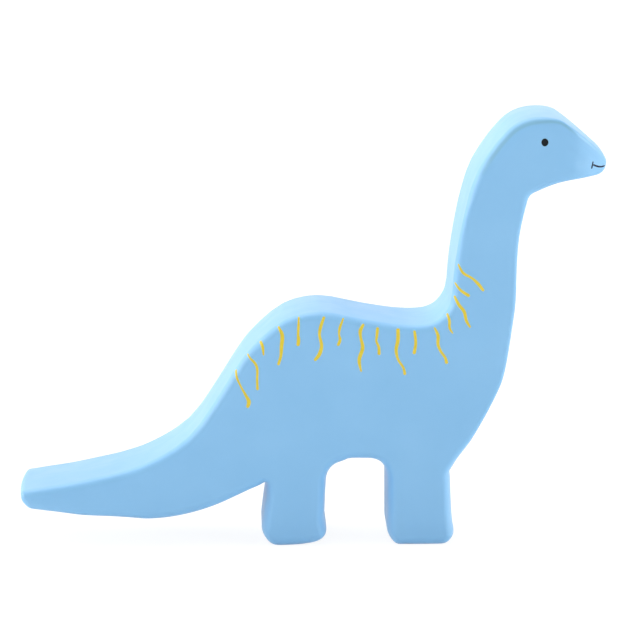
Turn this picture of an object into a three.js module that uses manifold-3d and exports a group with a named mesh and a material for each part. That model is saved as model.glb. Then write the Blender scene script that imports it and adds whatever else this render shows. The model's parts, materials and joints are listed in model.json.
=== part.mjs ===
// A dinosaur teething toy: a hollow slab of moulded rubber in two halves, with a rattle capsule sealed in its belly.
// Millimetres, +Z up, +X towards the head. The halves meet at y = 0, and y < 0 is the animal's right side.
import * as THREE from "three";
import { mergeVertices } from "three/addons/utils/BufferGeometryUtils.js";
import Module from "manifold-3d";

const wasm = await Module();
wasm.setup();

// Moulded body
const bodyThickness = 28;
const wallThickness = 3;
const edgeRadius = 2.5;
const cavityCornerRadius = 1.5;

// Legs, drawn about the middle of the arch between them, with the soles at z = 0
const archWidth = 18.2;
const archHeight = 26.1;
const rearLegWidth = 17;
const frontLegWidth = 18.35;
const flareHeight = 8;
const legRootHeight = 18.95;
const bellyEndHeight = 21.4;

// How far each sole corner stands out from its leg's side higher up
const rearHeelFlare = 1.9;
const rearToeFlare = 1.25;
const frontHeelFlare = -0.1;
const frontToeFlare = 1.9;

// Rounded corners, [reach up the side, reach along the sole or the ceiling]
const rearHeelRound = [5.4, 5.4];
const rearToeRound = [3.6, 12];
const frontHeelRound = [4.4, 3.4];
const frontToeRound = [3.6, 5];
const archRearRound = [8.4, 9];
const archFrontRound = [7, 5.6];
const legRootRound = 0.5;

// Rear heel's side, as how far out from the leg's width and at which height
const heelSidePoints = [
  [0.1, 14],
  [0.95, 8.5],
];

// Tail tip
const tailTipX = -97.7;
const tailTipTop = 17.3;
const tailTipBottom = 11.9;
const tailTopRound = 1.3;
const tailBottomRound = [3.2, 4];

// Throat, where the chin meets the chest
const throatX = 49.1;
const throatHeight = 103;
const throatRound = 1.2;

// Snout: from the crease forward the sides close in, first by a flat slope and then by a curve
const creaseFromThroat = 11.3;
const tipFromThroat = 23;
const snoutSlopeTaper = 2.5;
const snoutCurveTaper = 5;
const snoutShares = [0, 0.35, 0.6, 0.8];

// Outline points, [x, z], from the tail over the back to the neck
const backPoints = [
  [-82.9, 19.5],
  [-62.45, 24.55],
  [-48.8, 32.85],
  [-39.5, 45.9],
  [-35.35, 52.6],
  [-30.75, 59],
  [-20.75, 67.45],
  [-10.6, 69.85],
  [2.5, 67.45],
  [15.6, 65.75],
  [22.8, 66.95],
  [26.7, 71.85],
  [27.9, 82],
];

// Outline points of the head, [x, z] from the throat: from the nape over the crown and the nose to the chin
const headPoints = [
  [-18.8, -6.4],
  [-15, 7.15],
  [-7.3, 18.2],
  [-2.7, 21.6],
  [2.5, 22.8],
  [8.45, 22],
  [11.5, 20.15],
  [17, 15.65],
  [21.05, 12],
  [22.65, 9.1],
  [22.45, 7.7],
  [21.85, 6.4],
  [20.4, 5.5],
  [17.4, 5.1],
  [12.1, 4.6],
  [8.5, 3.8],
  [4.2, 2.2],
];

// Outline points below the throat, [x, z] from it, and then down the chest to the front leg
const underThroatPoints = [
  [-1.4, -4.8],
  [-2.2, -8.5],
  [-2.85, -12.5],
];
const chestPoints = [
  [45.7, 79],
  [45.75, 75.5],
  [45.5, 70.5],
  [44.85, 65.6],
  [42.95, 52.6],
  [41.8, 48.2],
  [39.35, 42.7],
  [32.3, 29.35],
  [29.1, 24.35],
];

// Outline points from the rear leg along the underside of the tail
const tailUnderPoints = [
  [-31.6, 16.6],
  [-41.2, 12.1],
  [-51.2, 9.25],
  [-60.5, 8.3],
  [-67.3, 8.95],
  [-74.5, 9.3],
  [-80.5, 9.65],
  [-87, 10.8],
];

// Rattle capsule in the belly: a cup and a lid that laps into it, on an axis along Y
const capsuleRadius = 12;
const capsuleWall = 2;
const capsuleForward = 0.5;
const lapLength = 4;
const lipWall = 0.8;
const fitGap = 0.3;

// Ring sockets moulded inside each half, which hold the capsule's ends
const socketWall = 2;
const socketDepth = 6;
const socketRoot = 1;

// Beads, each with room of its own in the capsule
const beadRadius = 2.5;
const beadLaneGap = 0.6;

// Vent plug, pressed from below into the hole that the mould leaves in the arch
const plugStemRadius = 1.8;
const plugHeadRadius = 3.6;
const plugHeadHeight = 1.2;
const plugBarbRadius = 2.8;
const plugBarbHeight = 1.6;
const plugClearAbove = 1;

// Mesh steps
const pointsPerSpan = 3;
const cornerSteps = 5;
const weldDistance = 0.02;
const edgeSteps = 3;
const roundSegments = 36;
const plugSegments = 20;

// Materials, with the colours of the photograph
const paintedRubber = new THREE.MeshStandardMaterial({ color: 0x8fc4ec, roughness: 0.55, metalness: 0 });
const plainRubber = new THREE.MeshStandardMaterial({ color: 0xe6d3a8, roughness: 0.6, metalness: 0 });
const capsulePlastic = new THREE.MeshStandardMaterial({ color: 0xf2f2ee, roughness: 0.4, metalness: 0 });
const beadPlastic = new THREE.MeshStandardMaterial({ color: 0xe9b949, roughness: 0.3, metalness: 0 });

// A smooth run through hand-chosen points, without its last point
function smoothRun(points) {
  const curve = new THREE.CatmullRomCurve3(points.map(([x, z]) => new THREE.Vector3(x, 0, z)));
  const samples = curve.getPoints((points.length - 1) * pointsPerSpan);
  return samples.slice(0, -1).map((p) => [p.x, p.z]);
}

// The quarter ellipse that rounds a corner, from one reach before it to the other reach after it
function cornerRun(before, corner, after, [reachBefore, reachAfter]) {
  const handle = 0.55;
  const at = new THREE.Vector2(...corner);
  const start = new THREE.Vector2(...before).sub(at).setLength(reachBefore).add(at);
  const end = new THREE.Vector2(...after).sub(at).setLength(reachAfter).add(at);
  const curve = new THREE.CubicBezierCurve(start, start.clone().lerp(at, handle), end.clone().lerp(at, handle), end);
  return curve.getPoints(cornerSteps).map((p) => [p.x, p.y]);
}

// The whole outline, clockwise as seen from the animal's right
function outlineLoop() {
  const inner = archWidth / 2;
  const rearOuter = inner + rearLegWidth;
  const frontOuter = inner + frontLegWidth;
  const tipTop = [tailTipX, tailTipTop];
  const tipBottom = [tailTipX, tailTipBottom];
  const throat = [throatX, throatHeight];
  const fromThroat = ([x, z]) => [throatX + x, throatHeight + z];
  const upperPoints = [...backPoints, ...headPoints.map(fromThroat)];
  const frontPoints = [...underThroatPoints.map(fromThroat), ...chestPoints];
  const frontToe = [frontOuter + frontToeFlare, 0];
  const frontHeel = [inner - frontHeelFlare, 0];
  const archFront = [inner, archHeight];
  const archRear = [-inner, archHeight];
  const rearToe = [-inner + rearToeFlare, 0];
  const rearHeel = [-rearOuter - rearHeelFlare, 0];
  const heelSide = heelSidePoints.map(([out, z]) => [-rearOuter - out, z]);
  const legRoot = [-rearOuter, legRootHeight];
  const bellyEnd = [frontOuter, bellyEndHeight];
  const frontToeSide = [frontOuter + frontToeFlare / 3, flareHeight];
  const rearToeSide = [-inner, flareHeight];
  return [
    ...cornerRun(tipBottom, tipTop, upperPoints[0], [tailTopRound, tailTopRound]),
    ...smoothRun(upperPoints),
    ...cornerRun(upperPoints.at(-1), throat, frontPoints[0], [throatRound, throatRound]),
    ...smoothRun([...frontPoints, bellyEnd]),
    bellyEnd,
    frontToeSide,
    ...cornerRun(frontToeSide, frontToe, frontHeel, frontToeRound),
    ...cornerRun(frontToe, frontHeel, archFront, [...frontHeelRound].reverse()),
    ...cornerRun(frontHeel, archFront, archRear, archFrontRound),
    ...cornerRun(archFront, archRear, rearToe, [...archRearRound].reverse()),
    rearToeSide,
    ...cornerRun(rearToeSide, rearToe, rearHeel, rearToeRound),
    ...cornerRun(rearToe, rearHeel, heelSide[1], [...rearHeelRound].reverse()),
    ...heelSide.toReversed(),
    ...cornerRun(heelSide[0], legRoot, tailUnderPoints[0], [legRootRound, legRootRound]),
    ...smoothRun(tailUnderPoints),
    ...cornerRun(tailUnderPoints.at(-1), tipBottom, tipTop, [...tailBottomRound].reverse()),
  ];
}

const outline = outlineLoop();

// The inward direction at each point, long enough to move both of its sides by one
const outlineInward = outline.map(([x, z], i) => {
  const [ax, az] = outline.at(i - 1);
  const [bx, bz] = outline[(i + 1) % outline.length];
  const before = new THREE.Vector2(z - az, ax - x).normalize();
  const after = new THREE.Vector2(bz - z, x - bx).normalize();
  return before.clone().add(after).divideScalar(1 + before.dot(after));
});

// Where two straight edges cross, or null
function crossing(a, b, c, d) {
  const [abx, abz, cdx, cdz] = [b[0] - a[0], b[1] - a[1], d[0] - c[0], d[1] - c[1]];
  const slant = abx * cdz - abz * cdx;
  if (Math.abs(slant) < 1e-6) return null;
  const alongAb = ((c[0] - a[0]) * cdz - (c[1] - a[1]) * cdx) / slant;
  const alongCd = ((c[0] - a[0]) * abz - (c[1] - a[1]) * abx) / slant;
  const meet = alongAb >= 0 && alongAb <= 1 && alongCd >= 0 && alongCd <= 1;
  return meet ? [a[0] + alongAb * abx, a[1] + alongAb * abz] : null;
}

// The outline moved inwards, with as many points: each loop that the move makes is gathered at its crossing
function insetOutline(distance) {
  const ring = outline.map(([x, z], i) => [x + outlineInward[i].x * distance, z + outlineInward[i].y * distance]);
  const count = ring.length;
  for (let span = Math.floor(count / 2); span >= 2; span -= 1) {
    for (let i = 0; i < count; i += 1) {
      const j = (i + span) % count;
      const meeting = crossing(ring[i], ring[(i + 1) % count], ring[j], ring[(j + 1) % count]);
      if (meeting) for (let k = 1; k <= span; k += 1) ring[(i + k) % count] = meeting;
    }
  }
  for (let i = 1; i < count; i += 1) {
    if (Math.hypot(ring[i][0] - ring[i - 1][0], ring[i][1] - ring[i - 1][1]) < weldDistance) ring[i] = ring[i - 1];
  }
  return ring;
}

const snoutCreaseX = throatX + creaseFromThroat;
const snoutTipX = throatX + tipFromThroat;

// Half the body's thickness, which shrinks along the snout
function halfThickness(x) {
  const along = Math.max(0, (x - snoutCreaseX) / (snoutTipX - snoutCreaseX));
  return bodyThickness / 2 - snoutSlopeTaper * along - snoutCurveTaper * along * along;
}

// Cuts across the snout, as pairs of places in a loop, one on the brow and one on the chin, at the same x
function snoutCuts(loop) {
  const places = loop.map((p, i) => i).filter((i) => loop[i][0] > throatX);
  const tip = places.reduce((a, b) => (loop[b][0] > loop[a][0] ? b : a));
  const nearest = (x, side) => side.reduce((a, b) => (Math.abs(loop[b][0] - x) < Math.abs(loop[a][0] - x) ? b : a));
  const cuts = [];
  for (const share of snoutShares) {
    const x = snoutCreaseX + share * (snoutTipX - snoutCreaseX);
    const [lastBrow, lastChin] = cuts.at(-1) ?? [0, loop.length];
    const brows = places.filter((i) => i < tip && i > lastBrow);
    const chins = places.filter((i) => i > tip && i < lastChin);
    if (brows.length && chins.length) cuts.push([nearest(x, brows), nearest(x, chins)]);
  }
  return cuts;
}

// Triangles that fill a clockwise contour: every point is used, points along straight sides too
function fillTriangles(contour) {
  const turn = (a, b, c) => (b[0] - a[0]) * (c[1] - a[1]) - (b[1] - a[1]) * (c[0] - a[0]);
  const covers = (a, b, c, p) => turn(a, b, p) <= 0 && turn(b, c, p) <= 0 && turn(c, a, p) <= 0;
  const left = contour.map((p, i) => i);
  const triangles = [];
  while (left.length > 2) {
    let best = { place: 0, cut: Infinity };
    left.forEach((middle, place) => {
      const before = left.at(place - 1);
      const after = left[(place + 1) % left.length];
      const [a, b, c] = [contour[before], contour[middle], contour[after]];
      const cut = Math.hypot(c[0] - a[0], c[1] - a[1]);
      if (cut >= best.cut || turn(a, b, c) >= 0) return;
      const others = left.filter((i) => i !== before && i !== middle && i !== after);
      if (!others.some((i) => covers(a, b, c, contour[i]))) best = { place, cut };
    });
    const { place } = best;
    triangles.push([left[(place + 1) % left.length], left[place], left.at(place - 1)]);
    left.splice(place, 1);
  }
  return triangles;
}

// Triangles of one side face, given as indices into its ring
function faceTriangles(ring) {
  const kept = ring.map((p, i) => i).filter((i) => ring[i] !== ring.at(i - 1));
  const cuts = snoutCuts(kept.map((i) => ring[i]));
  const pieces = cuts.map(([brow, chin], k) => {
    const [nextBrow, nextChin] = cuts[k + 1] ?? [chin, chin + 1];
    return [...kept.slice(brow, nextBrow + 1), ...kept.slice(nextChin, chin + 1)];
  });
  const [firstBrow, firstChin] = cuts[0] ?? [kept.length, kept.length];
  pieces.push([...kept.slice(0, firstBrow + 1), ...kept.slice(firstChin)]);
  return pieces.flatMap((piece) =>
    fillTriangles(piece.map((i) => ring[i])).map((triangle) => triangle.map((k) => piece[k])),
  );
}

// A manifold-3d solid from a closed geometry
function solidOf(geometry) {
  const bare = geometry.clone();
  bare.deleteAttribute("normal");
  bare.deleteAttribute("uv");
  const merged = mergeVertices(bare, 1e-4);
  const index = merged.index.array;
  const kept = [];
  for (let i = 0; i < index.length; i += 3) {
    const [a, b, c] = index.slice(i, i + 3);
    if (a !== b && b !== c && c !== a) kept.push(a, b, c);
  }
  return new wasm.Manifold(
    new wasm.Mesh({
      numProp: 3,
      vertProperties: new Float32Array(merged.attributes.position.array),
      triVerts: new Uint32Array(kept),
    }),
  );
}

function geometryOf(solid) {
  const mesh = solid.getMesh();
  const geometry = new THREE.BufferGeometry();
  geometry.setAttribute("position", new THREE.BufferAttribute(new Float32Array(mesh.vertProperties), 3));
  geometry.setIndex(new THREE.BufferAttribute(new Uint32Array(mesh.triVerts), 1));
  geometry.computeVertexNormals();
  return geometry;
}

// A closed solid through rings of points: each ring is an inset of the outline at a depth behind the side face
function ringSolid(side, rings) {
  const insets = rings.map(({ inset }) => insetOutline(inset));
  const count = outline.length;
  const positions = insets.flatMap((ring, k) => {
    return ring.flatMap(([x, z]) => [x, side * rings[k].depth(halfThickness(x)), z]);
  });
  const triangles = [];
  insets.slice(1).forEach((_, k) => {
    for (let i = 0; i < count; i += 1) {
      const next = (i + 1) % count;
      const [a, b, c, d] = [k * count + i, k * count + next, (k + 1) * count + next, (k + 1) * count + i];
      triangles.push([a, c, b], [a, d, c]);
    }
  });
  const lastStart = (insets.length - 1) * count;
  faceTriangles(insets.at(-1)).forEach((t) => triangles.push(t.map((i) => i + lastStart)));
  faceTriangles(insets[0]).forEach((t) => triangles.push([...t].reverse()));
  const geometry = new THREE.BufferGeometry();
  geometry.setAttribute("position", new THREE.Float32BufferAttribute(positions, 3));
  geometry.setIndex(triangles.flatMap((t) => (side < 0 ? t : [...t].reverse())));
  return solidOf(geometry);
}

// The outer half: a straight wall up from the parting plane, then the rounded edge
function outerHalf(side) {
  const rings = [{ inset: 0, depth: () => 0 }];
  for (let k = 0; k <= edgeSteps; k += 1) {
    const angle = ((Math.PI / 2) * k) / edgeSteps;
    const inset = edgeRadius * (1 - Math.cos(angle));
    const rise = edgeRadius * (1 - Math.sin(angle));
    rings.push({ inset, depth: (half) => half - rise });
  }
  return ringSolid(side, rings);
}

// The hollow of one half, which starts a little past the parting plane so that the cut is clean
function cavityHalf(side) {
  const past = 1;
  return ringSolid(side, [
    { inset: wallThickness, depth: () => -past },
    { inset: wallThickness, depth: (half) => half - wallThickness - cavityCornerRadius },
    { inset: wallThickness + cavityCornerRadius, depth: (half) => half - wallThickness },
  ]);
}

// A solid of revolution about Y from [radius, y] points, closed on the axis or on itself
function latheSolid(profile, segments) {
  return solidOf(new THREE.LatheGeometry(profile.map(([r, y]) => new THREE.Vector2(r, y)), segments));
}

// Places that follow from the sizes above
const socketInnerRadius = capsuleRadius + fitGap;
const socketOuterRadius = socketInnerRadius + socketWall;
const capsuleX = capsuleForward;
const plugTop = archHeight + wallThickness + fitGap + plugBarbHeight;
const capsuleZ = plugTop + plugClearAbove + socketOuterRadius;
const capsuleHalfDepth = bodyThickness / 2 - wallThickness - fitGap;
const roomHalfDepth = capsuleHalfDepth - capsuleWall;
const roomRadius = capsuleRadius - capsuleWall;

// A ring between two radii and two depths, on the capsule's axis
function ringAt(innerRadius, outerRadius, fromY, toY) {
  const low = Math.min(fromY, toY);
  const high = Math.max(fromY, toY);
  const profile = [[innerRadius, low], [outerRadius, low], [outerRadius, high], [innerRadius, high], [innerRadius, low]];
  return latheSolid(profile, roundSegments).translate([capsuleX, 0, capsuleZ]);
}

// The bare place that the capsule needs, right across the body
function capsulePocket() {
  const reach = capsuleHalfDepth + fitGap;
  const radius = capsuleRadius + fitGap;
  const profile = [[0, -reach], [radius, -reach], [radius, reach], [0, reach]];
  return latheSolid(profile, roundSegments).translate([capsuleX, 0, capsuleZ]);
}

// A revolved piece on the vent's vertical axis, from [radius, z] points
function ventTurned(profile) {
  return latheSolid(profile, plugSegments).rotate([90, 0, 0]);
}

function ventPlug() {
  const seat = archHeight + plugHeadHeight;
  const inside = archHeight + wallThickness + fitGap;
  return ventTurned([
    [0, archHeight],
    [plugHeadRadius, archHeight],
    [plugHeadRadius, seat],
    [plugStemRadius, seat],
    [plugStemRadius, inside],
    [plugBarbRadius, inside],
    [plugStemRadius, plugTop],
    [0, plugTop],
  ]);
}

function ventHole() {
  const past = 1;
  const seat = archHeight + plugHeadHeight + fitGap;
  const through = archHeight + wallThickness + past;
  return ventTurned([
    [0, archHeight - past],
    [plugHeadRadius + fitGap, archHeight - past],
    [plugHeadRadius + fitGap, seat],
    [plugStemRadius + fitGap, seat],
    [plugStemRadius + fitGap, through],
    [0, through],
  ]);
}

// One moulded half: skin, ring socket, room for the capsule and half of the vent hole
function bodyHalf(side) {
  const outside = outerHalf(side);
  const innerFace = side * (bodyThickness / 2 - wallThickness);
  const socket = ringAt(socketInnerRadius, socketOuterRadius, innerFace + side * socketRoot, innerFace - side * socketDepth);
  return outside.subtract(cavityHalf(side)).add(socket.intersect(outside)).subtract(capsulePocket()).subtract(ventHole());
}

// The cup's mouth is thinned from inside, and the lid's lip runs down into it
function rattleCup() {
  const mouthRadius = capsuleRadius - lipWall;
  const stepY = -lapLength / 2;
  const mouthY = lapLength / 2;
  const profile = [
    [0, -capsuleHalfDepth],
    [capsuleRadius, -capsuleHalfDepth],
    [capsuleRadius, mouthY],
    [mouthRadius, mouthY],
    [mouthRadius, stepY],
    [roomRadius, stepY],
    [roomRadius, -roomHalfDepth],
    [0, -roomHalfDepth],
  ];
  return latheSolid(profile, roundSegments).translate([capsuleX, 0, capsuleZ]);
}

function rattleLid() {
  const lipRadius = capsuleRadius - lipWall - fitGap;
  const lipEndY = -lapLength / 2 + fitGap;
  const shoulderY = lapLength / 2 + fitGap;
  const profile = [
    [0, roomHalfDepth],
    [roomRadius, roomHalfDepth],
    [roomRadius, lipEndY],
    [lipRadius, lipEndY],
    [lipRadius, shoulderY],
    [capsuleRadius, shoulderY],
    [capsuleRadius, capsuleHalfDepth],
    [0, capsuleHalfDepth],
  ];
  return latheSolid(profile, roundSegments).translate([capsuleX, 0, capsuleZ]);
}

// Rows of bead lanes across the capsule, every other row shifted by half a lane
function beadPlaces() {
  const swing = roomRadius - fitGap - beadRadius;
  const depth = roomHalfDepth - fitGap - beadRadius;
  const lane = 2 * beadRadius + beadLaneGap;
  const rows = Math.max(1, Math.floor((2 * depth) / lane) + 1);
  const widest = Math.sqrt(Math.max(0, swing * swing - beadRadius * beadRadius));
  const places = [];
  for (let row = 0; row < rows; row += 1) {
    const y = rows === 1 ? 0 : -depth + (2 * depth * row) / (rows - 1);
    const shift = row % 2 === 0 ? lane / 2 : 0;
    for (let x = -lane * Math.floor((widest + shift) / lane) + shift; x <= widest; x += lane) {
      places.push({ x, y, drop: Math.sqrt(swing * swing - x * x) });
    }
  }
  return places;
}

// Adds one named mesh to a parent
function addPart(parent, name, geometry, material) {
  const mesh = new THREE.Mesh(geometry, material.clone());
  mesh.name = name;
  parent.add(mesh);
  return mesh;
}

const toy = new THREE.Group();
const drawn = new THREE.Group();
toy.add(drawn);
addPart(drawn, "right_body_half", geometryOf(bodyHalf(-1)), paintedRubber);
addPart(drawn, "left_body_half", geometryOf(bodyHalf(1)), paintedRubber);
addPart(drawn, "vent_plug", geometryOf(ventPlug()), plainRubber);
addPart(drawn, "rattle_cup", geometryOf(rattleCup()), capsulePlastic);
addPart(drawn, "rattle_lid", geometryOf(rattleLid()), capsulePlastic);
beadPlaces().forEach(({ x, y, drop }, i) => {
  const bead = addPart(drawn, `rattle_bead_${i + 1}`, new THREE.SphereGeometry(beadRadius, 12, 8), beadPlastic);
  bead.position.set(capsuleX + x, y, capsuleZ - drop);
});

// The origin goes under the middle of the body's box, on the floor
const box = new THREE.Box3().setFromObject(drawn);
drawn.position.x = -(box.min.x + box.max.x) / 2;
drawn.position.z = -box.min.z;

export default toy;
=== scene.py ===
import json
import math

import bmesh
import bpy
import numpy as np
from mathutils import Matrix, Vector
from mathutils.bvhtree import BVHTree
from mathutils.geometry import delaunay_2d_cdt
from mathutils.kdtree import KDTree

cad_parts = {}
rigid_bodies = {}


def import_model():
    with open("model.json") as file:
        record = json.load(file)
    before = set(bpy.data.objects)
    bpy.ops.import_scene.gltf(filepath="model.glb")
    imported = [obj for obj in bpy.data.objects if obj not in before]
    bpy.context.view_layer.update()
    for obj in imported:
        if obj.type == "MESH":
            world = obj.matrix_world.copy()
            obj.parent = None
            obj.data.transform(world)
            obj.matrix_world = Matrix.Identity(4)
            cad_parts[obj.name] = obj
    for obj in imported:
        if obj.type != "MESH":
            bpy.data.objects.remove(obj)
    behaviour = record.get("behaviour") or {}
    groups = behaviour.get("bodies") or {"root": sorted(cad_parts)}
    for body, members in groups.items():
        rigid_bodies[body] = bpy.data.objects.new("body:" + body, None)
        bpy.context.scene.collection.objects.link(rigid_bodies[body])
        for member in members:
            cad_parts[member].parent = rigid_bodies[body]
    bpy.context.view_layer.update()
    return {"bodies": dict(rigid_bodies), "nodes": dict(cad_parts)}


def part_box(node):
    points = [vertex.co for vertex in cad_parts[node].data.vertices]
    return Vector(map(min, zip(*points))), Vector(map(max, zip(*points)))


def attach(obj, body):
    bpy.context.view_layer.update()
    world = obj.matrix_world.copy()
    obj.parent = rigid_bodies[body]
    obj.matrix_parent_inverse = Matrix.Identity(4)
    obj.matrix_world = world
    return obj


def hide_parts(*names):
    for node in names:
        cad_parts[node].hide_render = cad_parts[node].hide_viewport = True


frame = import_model()

MM = 0.001


def node_box(node):
    """Lowest and highest corner of a CAD node."""
    low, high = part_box(node)
    return np.array(low) / MM, np.array(high) / MM


# Body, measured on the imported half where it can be
body_low, _ = node_box("right_body_half")
plug_low, plug_high = node_box("vent_plug")
HALF_THICKNESS = -body_low[1]
PACKED_EDGE_RADIUS = 2.5

# Radius of the edge round: wider over the crown and down the legs, tighter up the chest and over the brow.
# A reach holds the spans of x and of z over which such a change sets in.
EDGE_RADIUS = 2.5
CROWN_EDGE_RADIUS = 3.1
LEG_EDGE_RADIUS = 2.7
CHEST_EDGE_RADIUS = 1.3
SNOUT_EDGE_RADIUS = 0.9
LEG_REACH = ((-20, -16), (24, 32))
CHEST_REACH = ((40, 46), (28, 40))
CROWN_REACH = ((64, 70), (106, 116))
SNOUT_REACH = ((63, 73), (96, 104))

# How far back the legs' upright edges are rounded, for each millimetre of their radius
LEG_EDGE_DEPTH = 2.5
LEG_EDGE_BLUR = 1.0
UPRIGHTNESS = (0.4, 0.85)

# Edges that face upwards: how steep they may be, and how far the rim bulges there and round the tail's tip
UPWARDNESS = (0.1, 0.5)
UPWARDNESS_BLUR = 1.5
RIM_CROWN = 0.3
TAIL_TIP_CROWN = 0.6
TAIL_TIP_REACH = (-84, -81)
TAIL_TIP_BLUR = 0.6

# Snout, which narrows towards its tip. Its soft start reaches back by SNOUT_SOFT_REACH times the softness
SNOUT_CREASE_X = 73.4
SNOUT_CREASE_SOFTNESS = 0.9
SNOUT_SOFT_REACH = 6
SNOUT_GROOVE_DEPTH = 0.07
SNOUT_GROOVE_SPREAD = 1.0
SNOUT_LENGTH = 11.5
SNOUT_SLOPE_TAPER = 2.2
SNOUT_CURVE_TAPER = 5.3

# Shallow dish just inside the edge round, where the moulded face sinks a little along upper edges
DISH_DEPTH = 0.12
DISH_START = 1.5
DISH_FULL = 2.6
DISH_FADE = 4.5

# Slight unevenness of the moulded face: waves as radians for each millimetre of x and of z, and a shift
UNEVENNESS = 0.05
UNEVEN_WAVES = ((0.13, 0.05, 0), (-0.06, 0.09, 2), (0.21, -0.17, 4))

# Crease under the rim along upper edges, deep over the head and faint along the back
CREASE_DEPTH = 0.36
CREASE_AT = (1.45, 0.6)
CREASE_NEARS_RIM = (64, 72)
CREASE_RIM_SPREAD = 0.8
CREASE_FACE_SPREAD = 2.6
# How far towards the face the painted shade along the crease spreads
CREASE_PAINTED_SHADE_SPREAD = 0.4
CREASE_ON_BACK = 0.15
CREASE_HEAD_HEIGHTS = (104, 116)
CREASE_HEAD_END = (72, 76)
CREASE_UPWARDNESS = (0.2, 0.6)

# A place on the arch's ceiling beside the vent, from the plug's middle
VENT_SHOULDER = (2.1, 0.18)

# Seam line where the two halves meet, and how far past it the solid runs before it is cut
SEAM_DEPTH = 0.015
SEAM_REACH = 0.3
SEAM_HALFWAY_SHARE = 0.4
PAST_SEAM = 1

# Smoothing of the outline: strong, but light at the corners that strong smoothing would move this far
STRONG_SMOOTHING = 2.2
LIGHT_SMOOTHING = 0.35
CORNER_SHIFT = (0.05, 0.11)
CORNER_BLUR = 1.2

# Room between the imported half's own skin and the new one, and margins for finding that skin
SKIN_GROWTH = 0.9
SKIN_MARGIN = 0.1
VENT_MARGIN = 1

# Mesh steps
OUTLINE_STEP = 0.25
LONGEST_SPAN = 3.0
RING_STEP = 0.5
RING_TURN = math.radians(6)
RING_SLACK = 0.02
LEAST_SPACING_SHARE = 0.6
EDGE_STEPS = 9
RIM_SHARES = (0.85, 0.7, 0.5, 0.3, 0.12)
INNER_RINGS = ((0.25, 0.5), (0.6, 0.5), (1.1, 0.6), (1.8, 0.7), (2.7, 0.9), (3.8, 1.1), (5.2, 1.4))
GRID_STEP = 2.0
RELAXED_FROM = 4
RELAX_ROUNDS = 12
WELD = 0.002
FILL_TOLERANCE = 1e-7
SMOOTH_ANGLE = math.radians(40)

# Painted marks: thickness of the paint, the power that keeps its top flat, how far a mark's edge and
# underside lie in the skin, and how far behind the side face a stroke may start
PAINT_THICKNESS = 0.07
PAINT_FLATNESS = 4
PAINT_EDGE = 0.01
PAINT_ROOT = 0.12
STROKE_STEP = 0.3
STROKE_OVER_RIM = 1.9
STROKE_END_HALF_WIDTH = 0.04
STROKE_ACROSS = (-1, -0.8, -0.4, 0, 0.4, 0.8, 1)
MARK_SHARP_ANGLE = math.radians(60)

# Back stripes, from the tail to the neck: points from the rim downwards as (x, z, width)
STRIPES = (
    ((-21.7, 53.8, 0.9), (-21.5, 51.0, 0.75), (-20.3, 48.1, 0.6), (-18.8, 45.3, 0.85), (-18, 43.5, 1.2),
     (-18.5, 41.7, 0.9)),
    ((-18.7, 58.1, 0.6), (-17.6, 56.4, 0.6), (-16.2, 54.9, 0.8), (-15.6, 53.4, 0.8), (-15.6, 49.8, 0.75),
     (-15.5, 46.9, 0.85)),
    ((-15.2, 62.1, 0.6), (-14.1, 60.1, 0.95), (-13.7, 57.1, 0.45)),
    ((-9.5, 65.6, 0.6), (-8.4, 63.2, 1.15), (-8.6, 59.4, 1.1), (-8.8, 56.9, 0.9), (-9.6, 54.2, 0.8)),
    ((-3.6, 68.4, 0.5), (-3.7, 65.6, 0.8), (-3.8, 63.2, 0.8), (-3.7, 61.7, 1.05), (-3.9, 59.8, 1.05)),
    ((3.7, 68.5, 0.8), (2.6, 65.3, 1.0), (2.3, 63.2, 0.85), (2.9, 59.9, 1.0), (2.3, 57.5, 1.15),
     (0.8, 55.5, 0.85)),
    ((9.2, 68.0, 0.5), (8.1, 65.0, 0.85), (7.9, 63.2, 0.6), (8.2, 61.7, 0.9), (7.5, 59.8, 0.9)),
    ((15, 66.3, 0.75), (14, 64.2, 1.1), (14.1, 62.3, 0.85), (14.7, 59.3, 1.1), (13.7, 55.7, 1.1),
     (14.3, 52.1, 0.5)),
    ((19, 65.3, 0.95), (18.7, 62.4, 0.85), (18.6, 61.2, 0.7), (19.3, 59.4, 0.85), (19.4, 57.0, 1.0)),
    ((24.8, 64.9, 1.1), (24.8, 61.5, 1.15), (24.3, 58.5, 1.0), (24.9, 55.7, 0.75), (26.4, 53.3, 0.75),
     (26.9, 51.1, 0.95)),
    ((29.5, 64.3, 0.85), (29.9, 60.5, 0.9), (29.4, 57.2, 1.05)),
    ((35.2, 65.2, 0.5), (36.3, 62.6, 1.0), (36.3, 60.2, 0.95), (37.1, 58.1, 0.8), (38.4, 56.2, 0.8),
     (38.9, 54.3, 1.05)),
    ((38.7, 69.4, 0.75), (39.5, 67.1, 0.85), (39.6, 64.9, 0.75), (40.6, 63.2, 0.4)),
    ((40.8, 74.3, 0.85), (42.1, 71.8, 0.95), (43.7, 69.7, 1.0), (44.4, 67.0, 0.9), (45.6, 64.9, 0.6)),
    ((40.9, 78.1, 0.6), (42.6, 76.0, 0.8), (45.3, 74.1, 1.0)),
    ((41.8, 83.6, 0.6), (43.3, 81.0, 0.8), (45.9, 79.4, 0.7), (47.7, 77.7, 0.95), (49.3, 75.6, 0.8)),
)

# Face: a dot for the eye, and a tick and a smile for the mouth
EYE_CENTRE = (66.1, 118.5)
EYE_RADII = (1.05, 1.18)
EYE_RINGS = 5
EYE_SEGMENTS = 36
MOUTH_TICK = ((80.3, 112.6, 0.45), (80.1, 111.6, 0.55), (79.8, 110.4, 0.6))
MOUTH_SMILE = (
    (80.2, 111.6, 0.5), (81.2, 111.1, 0.55), (82, 110.8, 0.55), (83, 110.6, 0.5), (84.2, 110.7, 0.45),
)

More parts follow.
